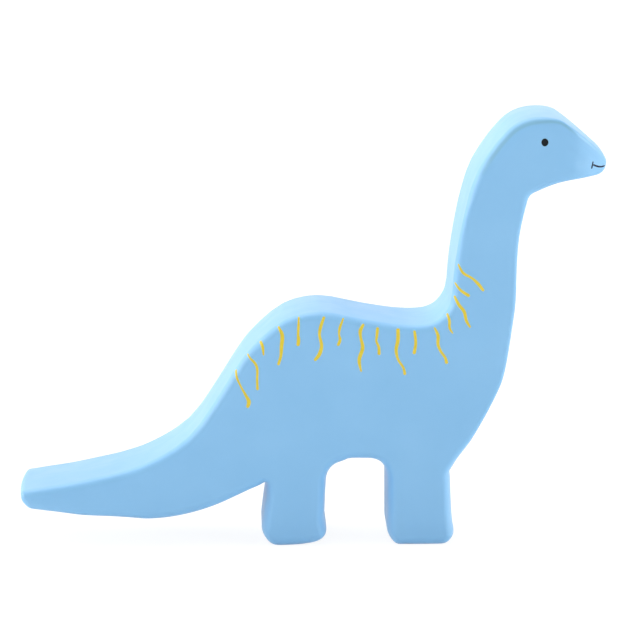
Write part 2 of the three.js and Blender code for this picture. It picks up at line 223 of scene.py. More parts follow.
# Rattle capsule and vent plug, revolved like their CAD solids but with rounded edges
TURN_SEGMENTS = 64
CORNER_STEPS = 4
CORNER_LARGEST_SHARE = 0.45
CAPSULE_EDGE = 0.8
CAPSULE_WALL = 2.0
CAPSULE_LIP = 0.8
CAPSULE_LAP = 2.0
FIT_GAP = 0.3
PLUG_EDGE = 0.35
PLUG_STEM_RADIUS = 1.8
PLUG_HEAD_HEIGHT = 1.2
PLUG_BARB_RADIUS = 2.8
PLUG_BARB_HEIGHT = 1.6
BEAD_SEAM = 0.06
BEAD_STEPS = 24


# Outline of the toy, read from the plane where the halves meet


def welded_mesh(node):
    """A CAD node's points with doubles merged, and its triangles."""
    mesh = frame["nodes"][node].data
    points = np.zeros(len(mesh.vertices) * 3)
    mesh.vertices.foreach_get("co", points)
    points = points.reshape(-1, 3) / MM
    mesh.calc_loop_triangles()
    corners = np.array([triangle.vertices[:] for triangle in mesh.loop_triangles])
    keys = np.round(points / WELD).astype(int)
    _, first, index = np.unique(keys, axis=0, return_index=True, return_inverse=True)
    triangles = index.ravel()[corners]
    flat = (triangles[:, 0] == triangles[:, 1]) | (triangles[:, 1] == triangles[:, 2])
    flat |= triangles[:, 2] == triangles[:, 0]
    return points[first], triangles[~flat]


def boundary_steps(triangles):
    """Each boundary edge of the triangles, as start: end."""
    edges = set()
    for a, b, c in triangles.tolist():
        edges.update(((a, b), (b, c), (c, a)))
    return {a: b for a, b in edges if (b, a) not in edges}


def chains(steps):
    """The open runs of points that the steps make."""
    starts = set(steps) - set(steps.values())
    runs = []
    for start in sorted(starts):
        run = [start]
        while run[-1] in steps:
            run.append(steps[run[-1]])
        runs.append(run)
    return runs


def packed_outline(points, triangles):
    """The outline's corner points as (x, z), closed across the vent hole along the arch's ceiling."""
    on_plane = np.all(np.abs(points[triangles][:, :, 1]) < WELD, axis=1)
    steps = boundary_steps(triangles[on_plane])
    flat = points[:, [0, 2]]
    low = plug_low[[0, 2]] - 2 * FIT_GAP
    high = plug_high[[0, 2]] + 2 * FIT_GAP
    outside = {}
    for a, b in steps.items():
        middle = (flat[a] + flat[b]) / 2
        if not (np.all(middle > low) and np.all(middle < high)):
            outside[a] = b
    runs = [flat[run] for run in chains(outside)]
    outer = min(runs, key=lambda run: run[:, 0].min())
    plug_middle = (plug_low[0] + plug_high[0]) / 2
    shoulder = [plug_middle - VENT_SHOULDER[0], plug_low[2] - VENT_SHOULDER[1]]
    ceiling = np.array([shoulder, [plug_middle, plug_low[2]]])
    return np.vstack([outer, ceiling if outer[-1, 0] < plug_middle else ceiling[::-1]])


def turned_left(loop):
    """The loop with its inside on the left of its direction."""
    after = np.roll(loop, -1, axis=0)
    area = np.sum(loop[:, 0] * after[:, 1] - after[:, 0] * loop[:, 1])
    return loop if area > 0 else loop[::-1]


def between(t, low, high, start, end):
    """start where t is low, end where t is high, and in proportion elsewhere."""
    return (high - t) / (high - low) * start + (t - low) / (high - low) * end


def rounded_run(points, closed, step):
    """Points at even steps on a centripetal spline through the given points."""
    points = np.asarray(points, float)
    if closed:
        padded = np.vstack([points[-1], points, points[0], points[1]])
    else:
        padded = np.vstack([2 * points[0] - points[1], points, 2 * points[-1] - points[-2]])
    dense = []
    for a, b, c, d in zip(padded, padded[1:], padded[2:], padded[3:]):
        spans = [math.sqrt(max(np.linalg.norm(q - p), 1e-6)) for p, q in ((a, b), (b, c), (c, d))]
        at_a, at_b, at_c, at_d = np.cumsum([0] + spans)
        count = max(2, math.ceil(np.linalg.norm(c - b) / (step / 4)))
        t = np.linspace(at_b, at_c, count, endpoint=False)[:, None]
        ab = between(t, at_a, at_b, a, b)
        bc = between(t, at_b, at_c, b, c)
        cd = between(t, at_c, at_d, c, d)
        abc = between(t, at_a, at_c, ab, bc)
        bcd = between(t, at_b, at_d, bc, cd)
        dense.append(between(t, at_b, at_c, abc, bcd))
    dense = np.vstack(dense + [points[:1] if closed else points[-1:]])
    lengths = np.concatenate([[0], np.cumsum(np.linalg.norm(np.diff(dense, axis=0), axis=1))])
    count = max(2, round(lengths[-1] / step))
    wanted = np.linspace(0, lengths[-1], count + 1)
    if closed:
        wanted = wanted[:-1]
    return np.stack([np.interp(wanted, lengths, dense[:, axis]) for axis in range(dense.shape[1])], axis=1)


def long_spans_split(loop):
    """The closed loop with extra points on its long straight spans."""
    result = []
    for a, b in zip(loop, np.roll(loop, -1, axis=0)):
        parts = max(1, math.ceil(np.linalg.norm(b - a) / LONGEST_SPAN))
        result.extend(a + (b - a) * k / parts for k in range(parts))
    return np.array(result)


def blurred(values, spread):
    """A closed run of values, averaged along it with a bell of the given spread in mm."""
    turns = np.fft.fftfreq(len(values), OUTLINE_STEP)
    bell = np.exp(-2 * (math.pi * turns * spread) ** 2)
    return np.fft.ifft(np.fft.fft(values) * bell)


def eased(values, low, high):
    """0 below low, 1 above high, and a smooth step between."""
    t = np.clip((np.asarray(values, float) - low) / (high - low), 0, 1)
    return t * t * (3 - 2 * t)


def smooth_outline(loop):
    """The outline with slight waviness taken out, but its tight corners kept."""
    even = rounded_run(long_spans_split(loop), True, OUTLINE_STEP)
    places = even[:, 0] + 1j * even[:, 1]
    fine = blurred(places, LIGHT_SMOOTHING)
    soft = blurred(places, STRONG_SMOOTHING)
    keep_fine = eased(np.abs(soft - fine), *CORNER_SHIFT)
    keep_fine = np.clip(blurred(keep_fine, CORNER_BLUR).real, 0, 1)
    mixed = soft + (fine - soft) * keep_fine
    return np.stack([mixed.real, mixed.imag], axis=1)


def thinned_steps(loop):
    """Indices of every few points of the loop, closer together where it turns."""
    ahead = np.roll(loop, -1, axis=0) - loop
    angles = np.arctan2(ahead[:, 1], ahead[:, 0])
    kept = [0]
    for index in range(1, len(loop)):
        span = (index - kept[-1]) * OUTLINE_STEP
        turn = abs((angles[index] - angles[kept[-1]] + math.pi) % (2 * math.pi) - math.pi)
        if span >= RING_STEP or turn >= RING_TURN:
            kept.append(index)
    return kept


def inward_directions(loop):
    """Unit vectors into the body at each point of the loop."""
    along = np.roll(loop, -1, axis=0) - np.roll(loop, 1, axis=0)
    along /= np.linalg.norm(along, axis=1)[:, None]
    return np.stack([-along[:, 1], along[:, 0]], axis=1)


class EdgeDistance:
    """Distance from points in the side view to the outline."""

    def __init__(self, loop):
        self.loop = loop
        self.tree = KDTree(len(loop))
        for index, (x, z) in enumerate(loop):
            self.tree.insert((x, z, 0), index)
        self.tree.balance()

    def nearest(self, points):
        """Index of the outline's nearest point to each point."""
        return np.array([self.tree.find((x, z, 0))[1] for x, z in points])

    def __call__(self, points):
        near = self.nearest(points)
        best = np.full(len(points), np.inf)
        for offset in (-1, 0):
            a = self.loop[(near + offset) % len(self.loop)]
            b = self.loop[(near + offset + 1) % len(self.loop)]
            span = b - a
            share = np.sum((points - a) * span, axis=1) / np.maximum(np.sum(span * span, axis=1), 1e-12)
            foot = a + np.clip(share, 0, 1)[:, None] * span
            best = np.minimum(best, np.linalg.norm(points - foot, axis=1))
        return best


packed_points, packed_triangles = welded_mesh("right_body_half")
fine_outline = smooth_outline(turned_left(packed_outline(packed_points, packed_triangles)))
edge_distance = EdgeDistance(fine_outline)
kept_steps = thinned_steps(fine_outline)
outline = fine_outline[kept_steps]
fine_inward = inward_directions(fine_outline)
outline_inward = fine_inward[kept_steps]


def legs_share(loop):
    """1 at the points of the loop that lie round the legs, 0 away from them."""
    return eased(loop[:, 0], *LEG_REACH[0]) * (1 - eased(loop[:, 1], *LEG_REACH[1]))


def edge_radii(loop):
    """Radius of the edge round at each point of the loop."""
    x, z = loop[:, 0], loop[:, 1]
    legs = legs_share(loop)
    head = eased(z, *SNOUT_REACH[1])
    snout = eased(x, *SNOUT_REACH[0]) * head
    chest = eased(x, *CHEST_REACH[0]) * eased(z, *CHEST_REACH[1]) * (1 - head)
    crown = (1 - eased(x, *CROWN_REACH[0])) * eased(z, *CROWN_REACH[1])
    snout_change = (SNOUT_EDGE_RADIUS - EDGE_RADIUS) * snout
    crown_change = (CROWN_EDGE_RADIUS - EDGE_RADIUS) * crown * (1 - snout)
    radii = np.full(len(loop), EDGE_RADIUS)
    radii += (LEG_EDGE_RADIUS - EDGE_RADIUS) * legs + (CHEST_EDGE_RADIUS - EDGE_RADIUS) * chest
    radii += snout_change + crown_change
    return radii


fine_radius = edge_radii(fine_outline)
upright = eased(np.abs(fine_inward[:, 0]), *UPRIGHTNESS)
fine_depth = 1 + (LEG_EDGE_DEPTH - 1) * blurred(legs_share(fine_outline) * upright, LEG_EDGE_BLUR).real
fine_upness = blurred(eased(-fine_inward[:, 1], *UPWARDNESS), UPWARDNESS_BLUR).real
tail_tip = (1 - eased(fine_outline[:, 0], *TAIL_TIP_REACH)) * eased(fine_inward[:, 0], *UPWARDNESS)
fine_crown = RIM_CROWN * fine_upness
fine_crown += (TAIL_TIP_CROWN - fine_crown) * blurred(tail_tip, TAIL_TIP_BLUR).real
outline_radius = fine_radius[kept_steps]
outline_crown = fine_crown[kept_steps]


# Skin of one half


def half_thickness(x):
    """Half the body's thickness, less towards the tip of the snout."""
    past = np.asarray(x, float) - SNOUT_CREASE_X
    softened = SNOUT_CREASE_SOFTNESS * np.logaddexp(0, past / SNOUT_CREASE_SOFTNESS)
    t = softened / SNOUT_LENGTH
    t = np.where(past < -SNOUT_SOFT_REACH * SNOUT_CREASE_SOFTNESS, 0, t)
    return HALF_THICKNESS - SNOUT_SLOPE_TAPER * t - SNOUT_CURVE_TAPER * t * t


def crease_strength(points):
    """How deep the crease under the rim is at each place: most over the head, none on lower edges."""
    x, z = points[:, 0], points[:, 1]
    inward = fine_inward[edge_distance.nearest(points)]
    head = eased(z, *CREASE_HEAD_HEIGHTS) * (1 - eased(x, *CREASE_HEAD_END))
    return (CREASE_ON_BACK + (1 - CREASE_ON_BACK) * head) * eased(-inward[:, 1], *CREASE_UPWARDNESS)


def crease_shape(points, distance, face_spread):
    """The crease's depth at each place, 0 to 1: short towards the rim, face_spread towards the face."""
    on_crown, on_brow = CREASE_AT
    middle = on_crown + (on_brow - on_crown) * eased(points[:, 0], *CREASE_NEARS_RIM)
    spread = np.where(distance < middle, CREASE_RIM_SPREAD * middle / on_crown, face_spread)
    return crease_strength(points) * np.exp(-((distance - middle) / spread) ** 2)


def distance_from_rim(points):
    """Distance from points in the side view to the front of the rim."""
    return edge_distance(points) - fine_crown[edge_distance.nearest(points)]


def skin_height(points, distance):
    """How far the side face stands out from the plane where the halves meet."""
    x, z = points[:, 0], points[:, 1]
    near = edge_distance.nearest(points)
    radius = fine_radius[near]
    into = np.clip(distance, 0, radius)
    fall = fine_depth[near] * (radius - np.sqrt(np.maximum(radius ** 2 - (radius - into) ** 2, 0)))
    dish = DISH_DEPTH * fine_upness[near] * eased(distance, DISH_START, DISH_FULL)
    dish *= np.exp(-np.maximum(distance - DISH_FULL, 0) / DISH_FADE)
    waves = sum(np.sin(along_x * x + along_z * z + shift) for along_x, along_z, shift in UNEVEN_WAVES)
    uneven = UNEVENNESS / len(UNEVEN_WAVES) * (waves - len(UNEVEN_WAVES))
    uneven *= eased(distance, DISH_START, 2 * DISH_FULL) / 2
    crease = CREASE_DEPTH * crease_shape(points, distance, CREASE_FACE_SPREAD)
    groove = SNOUT_GROOVE_DEPTH * np.exp(-((x - SNOUT_CREASE_X) / SNOUT_GROOVE_SPREAD) ** 2)
    groove *= eased(z, *SNOUT_REACH[1]) * eased(distance, DISH_START, DISH_FULL)
    return half_thickness(x) - fall - dish - crease - groove + uneven


def spread_out(points, least):
    """The points in order, without any that lies closer than least to one before it."""
    kept = np.zeros((len(points), 2))
    count = 0
    for point in points:
        gaps = np.sum((kept[:count] - point) ** 2, axis=1)
        if count == 0 or gaps.min() > least * least:
            kept[count] = point
            count += 1
    return kept[:count]


def inner_points():
    """Points inside the outline: rings that follow the edge, then an even grid."""
    angles = np.linspace(0, math.pi / 2, EDGE_STEPS + 1)[1:]
    rings = [(outline_radius * (1 - math.cos(angle)), RING_STEP) for angle in angles]
    rings += [(outline_radius + past, spacing) for past, spacing in INNER_RINGS]
    result = []
    for depth, spacing in rings:
        reach = outline_crown + depth
        ring = outline + outline_inward * reach[:, None]
        ring = ring[edge_distance(ring) > reach - RING_SLACK]
        result.append(spread_out(ring, LEAST_SPACING_SHARE * spacing))
    low, high = outline.min(axis=0), outline.max(axis=0)
    row_height = GRID_STEP * math.sqrt(3) / 2
    grid = []
    for row in range(int((high[1] - low[1]) / row_height) + 1):
        z = low[1] + row * row_height
        xs = np.arange(low[0] + GRID_STEP / 2 * (row % 2), high[0], GRID_STEP)
        grid.append(np.stack([xs, np.full(len(xs), z)], axis=1))
    grid = np.vstack(grid)
    grid = grid[inside_loop(grid, outline)]
    grid = grid[edge_distance(grid) > LEG_EDGE_RADIUS + INNER_RINGS[-1][0] + GRID_STEP / 2]
    return np.vstack(result + [grid])


def inside_loop(points, loop):
    """True for each point that lies inside the loop."""
    inside = np.zeros(len(points), bool)
    x, z = points[:, 0], points[:, 1]
    for (ax, az), (bx, bz) in zip(loop, np.roll(loop, -1, axis=0)):
        if az == bz:
            continue
        spans = (az > z) != (bz > z)
        inside ^= spans & (x < (bx - ax) * (z - az) / (bz - az) + ax)
    return inside


def triangulated(loop, inner):
    """Points and triangles that fill the loop through the inner points, the loop's own first."""
    points = np.vstack([loop, inner])
    edges = [(k, (k + 1) % len(loop)) for k in range(len(loop))]
    result = delaunay_2d_cdt([Vector(point) for point in points], edges, [], 1, FILL_TOLERANCE)
    places = np.array([point[:] for point in result[0]])
    origin = [sources[0] if sources else -1 for sources in result[3]]
    triangles = np.array(result[2])
    order = np.argsort([k if k >= 0 else len(points) + i for i, k in enumerate(origin)], kind="stable")
    rank = np.empty(len(order), int)
    rank[order] = np.arange(len(order))
    return places[order], rank[triangles]


def relaxed(heights, triangles, movable, rounds):
    """Heights averaged with their neighbours' where they may move."""
    pairs = np.vstack([triangles[:, [0, 1]], triangles[:, [1, 2]], triangles[:, [2, 0]]])
    pairs = np.vstack([pairs, pairs[:, ::-1]])
    counts = np.bincount(pairs[:, 0], minlength=len(heights))
    for _ in range(rounds):
        sums = np.bincount(pairs[:, 0], weights=heights[pairs[:, 1]], minlength=len(heights))
        heights = np.where(movable, sums / counts, heights)
    return heights


def mesh_object(name, points, faces):
    """A new mesh object from points in millimetres."""
    mesh = bpy.data.meshes.new(name)
    mesh.from_pydata((np.asarray(points) * MM).tolist(), [], [list(map(int, face)) for face in faces])
    mesh.update()
    piece = bpy.data.objects.new(name, mesh)
    bpy.context.scene.collection.objects.link(piece)
    return piece


def closed_piece(name, points, faces, sharp_angle):
    """A mesh object with its faces turned outwards, shaded smooth but for its sharp edges."""
    piece = mesh_object(name, points, faces)
    made = bmesh.new()
    made.from_mesh(piece.data)
    bmesh.ops.recalc_face_normals(made, faces=made.faces)
    made.to_mesh(piece.data)
    made.free()
    piece.data.shade_smooth()
    piece.data.set_sharp_from_angle(angle=sharp_angle)
    return piece


def outer_solid():
    """The right half's outer shape, solid, running a little past the plane where the halves meet."""
    places, triangles = triangulated(outline + outline_inward * outline_crown[:, None], inner_points())
    distance = distance_from_rim(places)
    distance[:len(outline)] = 0
    height = skin_height(places, distance)
    height = relaxed(height, triangles, distance > RELAXED_FROM, RELAX_ROUNDS)
    count = len(outline)
    points = [np.stack([places[:, 0], -height, places[:, 1]], axis=1)]
    wall = height[:count]
    rows = [(share * wall, outline_crown * share ** 2) for share in RIM_SHARES]
    rows += [(SEAM_REACH, 0), (SEAM_REACH / 2, SEAM_HALFWAY_SHARE * SEAM_DEPTH)]
    rows += [(0, SEAM_DEPTH), (-PAST_SEAM, SEAM_DEPTH)]
    for level, inset in rows:
        flat = outline + outline_inward * np.broadcast_to(inset, count)[:, None]
        points.append(np.stack([flat[:, 0], -np.broadcast_to(level, count), flat[:, 1]], axis=1))
    faces = [tuple(face) for face in triangles]
    starts = [0] + [len(places) + count * row for row in range(len(rows))]
    for upper, lower in zip(starts, starts[1:]):
        for k in range(count):
            following = (k + 1) % count
            faces.append((upper + following, upper + k, lower + k, lower + following))
    _, cap = triangulated(outline, np.zeros((0, 2)))
    faces += [tuple(starts[-1] + face[::-1]) for face in cap]
    return mesh_object("outer_solid", np.vstack(points), faces)


def grown_half():
    """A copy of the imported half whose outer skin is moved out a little, with its inside kept."""
    points = packed_points.copy()
    flat = points[:, [0, 2]]
    in_vent = np.all((points > plug_low - VENT_MARGIN) & (points < plug_high + VENT_MARGIN), axis=1)
    in_vent &= points[:, 2] > plug_low[2] + FIT_GAP / 2
    skin = (edge_distance(flat) < PACKED_EDGE_RADIUS + SKIN_MARGIN) & ~in_vent
    outward = -fine_inward[edge_distance.nearest(flat)]
    points[skin, 0] += SKIN_GROWTH * outward[skin, 0]
    points[skin, 2] += SKIN_GROWTH * outward[skin, 1]
    points[skin, 1] *= 1 + SKIN_GROWTH / HALF_THICKNESS
    return mesh_object("grown_half", points, packed_triangles)


def store_crease_painted_shade(mesh):
    """Stores how deep in the crease each point lies, for the painted shade that darkens the paint's colour
    there.
    """
    places = np.array([vertex.co[:] for vertex in mesh.vertices]) / MM
    flat = places[:, [0, 2]]
    depth = crease_shape(flat, distance_from_rim(flat), CREASE_PAINTED_SHADE_SPREAD)
    depth[np.abs(places[:, 1]) < HALF_THICKNESS / 2] = 0
    attribute = mesh.attributes.new("crease", "FLOAT", "POINT")
    attribute.data.foreach_set("value", depth.astype(np.float32))


def body_halves():
    """Both halves of the rubber body: a smooth skin outside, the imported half's own shape inside."""
    right = outer_solid()
    cutter = grown_half()
    modifier = right.modifiers.new("inside", "BOOLEAN")
    modifier.operation = "INTERSECT"
    modifier.solver = "MANIFOLD"
    modifier.object = cutter
    depsgraph = bpy.context.evaluated_depsgraph_get()
    result = bpy.data.meshes.new_from_object(right.evaluated_get(depsgraph))
    for helper in (right, cutter):
        bpy.data.objects.remove(helper)
    halves = []
    for name, side in (("right_skin", -1), ("left_skin", 1)):
        mesh = result if side < 0 else result.copy()
        mesh.name = name
        if side > 0:
            for vertex in mesh.vertices:
                vertex.co.y = -vertex.co.y
            mesh.flip_normals()
        mesh.materials.clear()
        mesh.shade_smooth()
        mesh.set_sharp_from_angle(angle=SMOOTH_ANGLE)
        store_crease_painted_shade(mesh)
        piece = bpy.data.objects.new(name, mesh)
        bpy.context.scene.collection.objects.link(piece)
        halves.append(piece)
    return halves


# Painted marks that lie on the skin


class Skin:
    """Finds places on one half's outer surface."""

    def __init__(self, piece, side):
        self.tree = BVHTree.FromObject(piece, bpy.context.evaluated_depsgraph_get())
        self.side = side

    def under(self, x, z):
        """The place and direction of the skin at x, z, seen from a metre to the side."""
        start = Vector((x * MM, self.side, z * MM))
        place, normal, _, _ = self.tree.ray_cast(start, Vector((0, -self.side, 0)))
        return place, normal

    def nearest(self, place):
        """The nearest place on the skin and its direction."""
        found, normal, _, _ = self.tree.find_nearest(place)
        return found, normal


def lies_by_face(place):
    """Whether a place on the skin lies on the side face or not far over its rim."""
    return abs(place.y) / MM > half_thickness(place.x / MM) - STROKE_OVER_RIM


def painted_stroke(skin, name, path):
    """A thin closed ribbon of paint on the skin, along a path of (x, z, width)."""
    line = rounded_run(path, False, STROKE_STEP)
    found = [(*skin.under(x, z), width) for x, z, width in line]
    found = [spot for spot in found if spot[0] is not None and lies_by_face(spot[0])]
    centres = [spot[0] for spot in found]
    steps = [0.0]
    for a, b in zip(centres, centres[1:]):
        steps.append(steps[-1] + (b - a).length / MM)
    top, bottom = [], []
    for k, (centre, normal, width) in enumerate(found):
        along = centres[min(k + 1, len(found) - 1)] - centres[max(k - 1, 0)]
        across = normal.cross(along).normalized()
        to_end = min(steps[k], steps[-1] - steps[k], width / 2)
        round_end = math.sqrt(1 - (1 - to_end / (width / 2)) ** 2)
        half = max(STROKE_END_HALF_WIDTH, round_end * width / 2)
        for u in STROKE_ACROSS:
            place, direction = skin.nearest(centre + across * (u * half * MM))
            lift = PAINT_THICKNESS * (1 - u ** PAINT_FLATNESS) * round_end - PAINT_EDGE
            top.append(place + direction * (lift * MM))
            bottom.append(place - direction * (PAINT_ROOT * MM))
    wide = len(STROKE_ACROSS)
    rows = len(found)
    faces = []
    under = rows * wide
    for row in range(rows - 1):
        for col in range(wide - 1):
            a = row * wide + col
            faces.append((a, a + 1, a + wide + 1, a + wide))
            faces.append((under + a, under + a + wide, under + a + wide + 1, under + a + 1))
        left = row * wide
        right = left + wide - 1
        faces.append((left, left + wide, under + left + wide, under + left))
        faces.append((right + wide, right, under + right, under + right + wide))
    for col in range(wide - 1):
        last = (rows - 1) * wide + col
        faces.append((col + 1, col, under + col, under + col + 1))
        faces.append((last, last + 1, under + last + 1, under + last))
    return finished_mark(name, top + bottom, faces)


def painted_dot(skin, name, centre, radii):
    """A thin closed dot of paint."""
    middle, normal = skin.under(*centre)
    top = [middle + normal * (PAINT_THICKNESS * MM)]
    bottom = [middle - normal * (PAINT_ROOT * MM)]
    for ring in range(1, EYE_RINGS + 1):
        share = ring / EYE_RINGS
        for k in range(EYE_SEGMENTS):
            angle = 2 * math.pi * k / EYE_SEGMENTS
            x = centre[0] + radii[0] * share * math.cos(angle)
            z = centre[1] + radii[1] * share * math.sin(angle)
            place, direction = skin.under(x, z)
            lift = PAINT_THICKNESS * (1 - share ** PAINT_FLATNESS) - PAINT_EDGE
            top.append(place + direction * (lift * MM))
            bottom.append(place - direction * (PAINT_ROOT * MM))
    under = len(top)
    faces = []
    for k in range(EYE_SEGMENTS):
        following = (k + 1) % EYE_SEGMENTS
        faces.append((0, 1 + k, 1 + following))
        faces.append((under, under + 1 + following, under + 1 + k))
        for ring in range(EYE_RINGS - 1):
            a = 1 + ring * EYE_SEGMENTS + k
            b = 1 + ring * EYE_SEGMENTS + following
            faces.append((a, a + EYE_SEGMENTS, b + EYE_SEGMENTS, b))
            faces.append((under + a, under + b, under + b + EYE_SEGMENTS, under + a + EYE_SEGMENTS))
        a = 1 + (EYE_RINGS - 1) * EYE_SEGMENTS + k
        b = 1 + (EYE_RINGS - 1) * EYE_SEGMENTS + following
        faces.append((a, under + a, under + b, b))
    return finished_mark(name, top + bottom, faces)


def finished_mark(name, places, faces):
    """A mark's mesh object from places in metres."""
    return closed_piece(name, [place / MM for place in places], faces, MARK_SHARP_ANGLE)


# Revolved pieces


def with_round_corners(profile, radius):
    """The open profile with each inner corner rounded, as far as its shorter side allows."""
    result = [profile[0]]
    for a, b, c in zip(profile, profile[1:], profile[2:]):
        a, b, c = (np.array(p, float) for p in (a, b, c))
        before = a - b
        after = c - b
        shorter = min(np.linalg.norm(before), np.linalg.norm(after))
        reach = min(radius, CORNER_LARGEST_SHARE * shorter)
        start = b + before / np.linalg.norm(before) * reach
        end = b + after / np.linalg.norm(after) * reach
        for k in range(CORNER_STEPS + 1):
            t = k / CORNER_STEPS
            result.append(tuple((1 - t) ** 2 * start + 2 * t * (1 - t) * b + t * t * end))
    result.append(profile[-1])
    return result


def revolved(name, profile, centre, axis):
    """A closed piece turned from (radius, height) points that start and end on the axis."""
    points = [(0, 0, profile[0][1])]
    for radius, height in profile[1:-1]:
        for k in range(TURN_SEGMENTS):
            angle = 2 * math.pi * k / TURN_SEGMENTS
            points.append((radius * math.cos(angle), radius * math.sin(angle), height))
    points.append((0, 0, profile[-1][1]))
    rows = len(profile) - 2
    last = len(points) - 1
    faces = []
    for k in range(TURN_SEGMENTS):
        following = (k + 1) % TURN_SEGMENTS
        faces.append((0, 1 + following, 1 + k))
        for row in range(rows - 1):
            a = 1 + row * TURN_SEGMENTS
            b = a + TURN_SEGMENTS
            faces.append((a + k, a + following, b + following, b + k))
        end = 1 + (rows - 1) * TURN_SEGMENTS
        faces.append((end + k, end + following, last))
    points = np.array(points, float)
    if axis == "Y":
        points = points[:, [0, 2, 1]]
    return closed_piece(name, points + np.array(centre), faces, SMOOTH_ANGLE)


def vent_plug():
    """Rubber button that closes the mould's vent hole in the arch."""
    seat = PLUG_HEAD_HEIGHT
    height = plug_high[2] - plug_low[2]
    barb = height - PLUG_BARB_HEIGHT
    head = (plug_high[0] - plug_low[0]) / 2
    profile = [(0, 0), (head, 0), (head, seat), (PLUG_STEM_RADIUS, seat), (PLUG_STEM_RADIUS, barb)]
    profile += [(PLUG_BARB_RADIUS, barb), (PLUG_STEM_RADIUS, height), (0, height)]
    centre = ((plug_low[0] + plug_high[0]) / 2, 0, plug_low[2])
    return revolved("vent_plug_rubber", with_round_corners(profile, PLUG_EDGE), centre, "Z")


def capsule_halves():
    """Cup and lid of the rattle, with the lid's lip inside the cup's mouth."""
    cup_low, cup_high = node_box("rattle_cup")
    _, lid_high = node_box("rattle_lid")
    radius = (cup_high[0] - cup_low[0]) / 2
    depth = -cup_low[1]
    room = radius - CAPSULE_WALL
    mouth = radius - CAPSULE_LIP
    lip = mouth - FIT_GAP
    floor = depth - CAPSULE_WALL
    cup = [(0, -depth), (radius, -depth), (radius, CAPSULE_LAP), (mouth, CAPSULE_LAP)]
    cup += [(mouth, -CAPSULE_LAP), (room, -CAPSULE_LAP), (room, -floor), (0, -floor)]
    lid = [(0, floor), (room, floor), (room, FIT_GAP - CAPSULE_LAP), (lip, FIT_GAP - CAPSULE_LAP)]
    lid += [(lip, CAPSULE_LAP + FIT_GAP), (radius, CAPSULE_LAP + FIT_GAP)]
    lid += [(radius, lid_high[1]), (0, lid_high[1])]
    centre = ((cup_low[0] + cup_high[0]) / 2, 0, (cup_low[2] + cup_high[2]) / 2)
    return (
        revolved("rattle_cup_shell", with_round_corners(cup, CAPSULE_EDGE), centre, "Y"),
        revolved("rattle_lid_shell", with_round_corners(lid, CAPSULE_EDGE), centre, "Y"),
    )


def rattle_bead(number):
    """A moulded bead with a fine parting line round its middle."""
    low, high = node_box(f"rattle_bead_{number}")
    radius = (high[2] - low[2]) / 2
    profile = []
    for k in range(BEAD_STEPS + 1):
        angle = -math.pi / 2 + math.pi * k / BEAD_STEPS
        groove = BEAD_SEAM if k == BEAD_STEPS // 2 else 0
        profile.append(((radius - groove) * math.cos(angle), (radius - groove) * math.sin(angle)))
    return revolved(f"rattle_bead_{number}_ball", profile, (low + high) / 2, "Z")


# Materials

PAINT_SHEEN = 0.06
PAINT_SHEEN_ROUGHNESS = 0.4
# Painted shade along the crease: the blue paint's colour is multiplied by this there, darker and warmer
CREASE_PAINTED_SHADE = (0.86, 0.86, 0.76, 1)
USUAL_SHINE = 0.5
FACE_PAINT_SHINE = 0.15
NOISE_RANGE = (0.3, 0.7)
COLOUR_DETAIL = 3
FINE_DETAIL = 2


def new_material(name):
    """A material's node tree, its Principled shader and object coordinates."""
    material = bpy.data.materials.new(name)
    material.use_nodes = True
    nodes = material.node_tree.nodes
    shader = nodes["Principled BSDF"]
    place = nodes.new("ShaderNodeTexCoord").outputs["Object"]
    return material, nodes, material.node_tree.links, shader, place


def noise(nodes, links, place, scale, detail):
    """A noise texture's factor at a scale in waves per metre."""
    texture = nodes.new("ShaderNodeTexNoise")
    texture.inputs["Scale"].default_value = scale
    texture.inputs["Detail"].default_value = detail
    links.new(place, texture.inputs["Vector"])
    return texture.outputs["Fac"]


def ramp(nodes, links, factor, colours):
    """A colour ramp over the usual range of a noise factor."""
    node = nodes.new("ShaderNodeValToRGB")
    elements = node.color_ramp.elements
    for element, position, colour in zip(elements, NOISE_RANGE, colours):
        element.position = position
        element.color = (*colour, 1)
    links.new(factor, node.inputs["Fac"])
    return node.outputs["Color"]


def ranged(nodes, links, factor, low, high):
    """The usual range of a noise factor stretched over low to high."""
    node = nodes.new("ShaderNodeMapRange")
    node.inputs["From Min"].default_value = NOISE_RANGE[0]
    node.inputs["From Max"].default_value = NOISE_RANGE[1]
    node.inputs["To Min"].default_value = low
    node.inputs["To Max"].default_value = high
    links.new(factor, node.inputs["Value"])
    return node.outputs["Result"]


def add_bump(nodes, links, shader, factor, strength, distance):
    """A fine bump under the shader, its distance in millimetres."""
    node = nodes.new("ShaderNodeBump")
    node.inputs["Strength"].default_value = strength
    node.inputs["Distance"].default_value = distance * MM
    links.new(factor, node.inputs["Height"])
    links.new(node.outputs["Normal"], shader.inputs["Normal"])


def surface_material(name, colours, colour_scale, roughness, roughness_scale, relief, shine=USUAL_SHINE):
    """A finish with colour drift, uneven gloss, and relief as (scale, strength, distance in mm)."""
    material, nodes, links, shader, place = new_material(name)
    shader.inputs["Specular IOR Level"].default_value = shine
    drift = noise(nodes, links, place, colour_scale, COLOUR_DETAIL)
    links.new(ramp(nodes, links, drift, colours), shader.inputs["Base Color"])
    gloss = noise(nodes, links, place, roughness_scale, FINE_DETAIL)
    links.new(ranged(nodes, links, gloss, *roughness), shader.inputs["Roughness"])
    relief_scale, strength, distance = relief
    grain = noise(nodes, links, place, relief_scale, FINE_DETAIL)
    add_bump(nodes, links, shader, grain, strength, distance)
    return material


